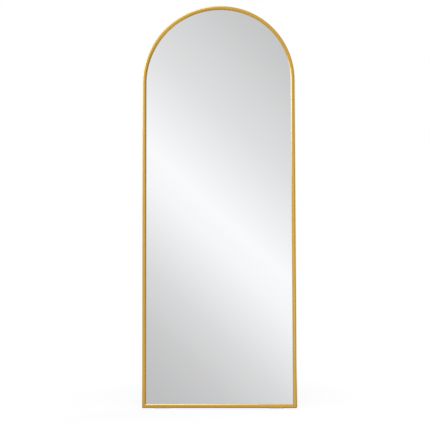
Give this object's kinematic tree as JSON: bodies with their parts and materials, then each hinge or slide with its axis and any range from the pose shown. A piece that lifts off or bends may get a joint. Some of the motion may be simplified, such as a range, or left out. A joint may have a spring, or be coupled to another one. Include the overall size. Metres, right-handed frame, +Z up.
{
  "type": "floor mirror",
  "caption": "Tall arched floor mirror in a slim gold-coloured metal frame, leaning back on a U-shaped tube stand that folds flat behind it.",
  "frame": {"origin": "on the floor, under the middle of the bounding box, with the stand open", "axes": "+Z up, +X to the right and +Y to the back as seen by a person in front of the glass, which faces -Y and leans back"},
  "size_m": [0.65, 0.3018, 1.6943],
  "materials": {
    "frame_gold": "brushed, gold anodised, satin",
    "silvered_glass": "clear float glass silvered on its back",
    "gasket_rubber": "matt black",
    "hardboard": "raw hardboard",
    "corner_key": "as cast",
    "screw_zinc": "bright zinc plated",
    "bolt_steel": "zinc plated",
    "clip_steel": "zinc plated spring steel",
    "black_steel": "fine-textured black powder coat",
    "washer_nylon": "natural nylon",
    "black_plastic": "moulded, matt",
    "foot_rubber": "matt moulded rubber",
    "pad_silicone": "pale translucent silicone"
  },
  "bodies": {
    "panel": {"frame_arch_rail": "frame_gold", "frame_bottom_rail": "frame_gold", "corner_key_left": "corner_key", "corner_key_right": "corner_key", "corner_screw_left_side": "screw_zinc", "corner_screw_left_bottom": "screw_zinc", "corner_screw_right_side": "screw_zinc", "corner_screw_right_bottom": "screw_zinc", "glazing_gasket": "gasket_rubber", "mirror_glass": "silvered_glass", "backing_board": "hardboard", "setting_block_left": "black_plastic", "setting_block_right": "black_plastic", "retainer_clip_left_low": "clip_steel", "retainer_clip_left_high": "clip_steel", "retainer_clip_left_arch": "clip_steel", "retainer_clip_right_low": "clip_steel", "retainer_clip_right_high": "clip_steel", "retainer_clip_right_arch": "clip_steel", "retainer_clip_bottom": "clip_steel", "retainer_screw_left_low": "screw_zinc", "retainer_screw_left_high": "screw_zinc", "retainer_screw_left_arch": "screw_zinc", "retainer_screw_right_low": "screw_zinc", "retainer_screw_right_high": "screw_zinc", "retainer_screw_right_arch": "screw_zinc", "retainer_screw_bottom": "screw_zinc", "back_brace": "black_steel", "brace_screw_left_upper": "screw_zinc", "brace_screw_left_lower": "screw_zinc", "brace_screw_right_upper": "screw_zinc", "brace_screw_right_lower": "screw_zinc", "hinge_bracket_left": "black_steel", "hinge_bracket_right": "black_steel", "bracket_screw_left_outer": "screw_zinc", "bracket_screw_left_inner": "screw_zinc", "bracket_screw_right_outer": "screw_zinc", "bracket_screw_right_inner": "screw_zinc", "pivot_bolt_left": "bolt_steel", "pivot_bolt_right": "bolt_steel", "pivot_nut_left": "bolt_steel", "pivot_nut_right": "bolt_steel", "pivot_washer_left_outer": "washer_nylon", "pivot_washer_left_inner": "washer_nylon", "pivot_washer_right_outer": "washer_nylon", "pivot_washer_right_inner": "washer_nylon", "floor_pad_left": "pad_silicone", "floor_pad_right": "pad_silicone", "wall_bumper_left": "foot_rubber", "wall_bumper_right": "foot_rubber"},
    "stand": {"stand_tube": "black_steel", "tube_cap_left": "black_plastic", "tube_cap_right": "black_plastic", "stand_foot_left": "foot_rubber", "stand_foot_right": "foot_rubber"}
  },
  "joints": [
    {"name": "stand_fold", "type": "hinge", "parent": "panel", "child": "stand", "pos_m": [0, 0.00968, 1.14352], "axis": [1, 0, 0], "range_deg": [-12.69, 0]}
  ]
}
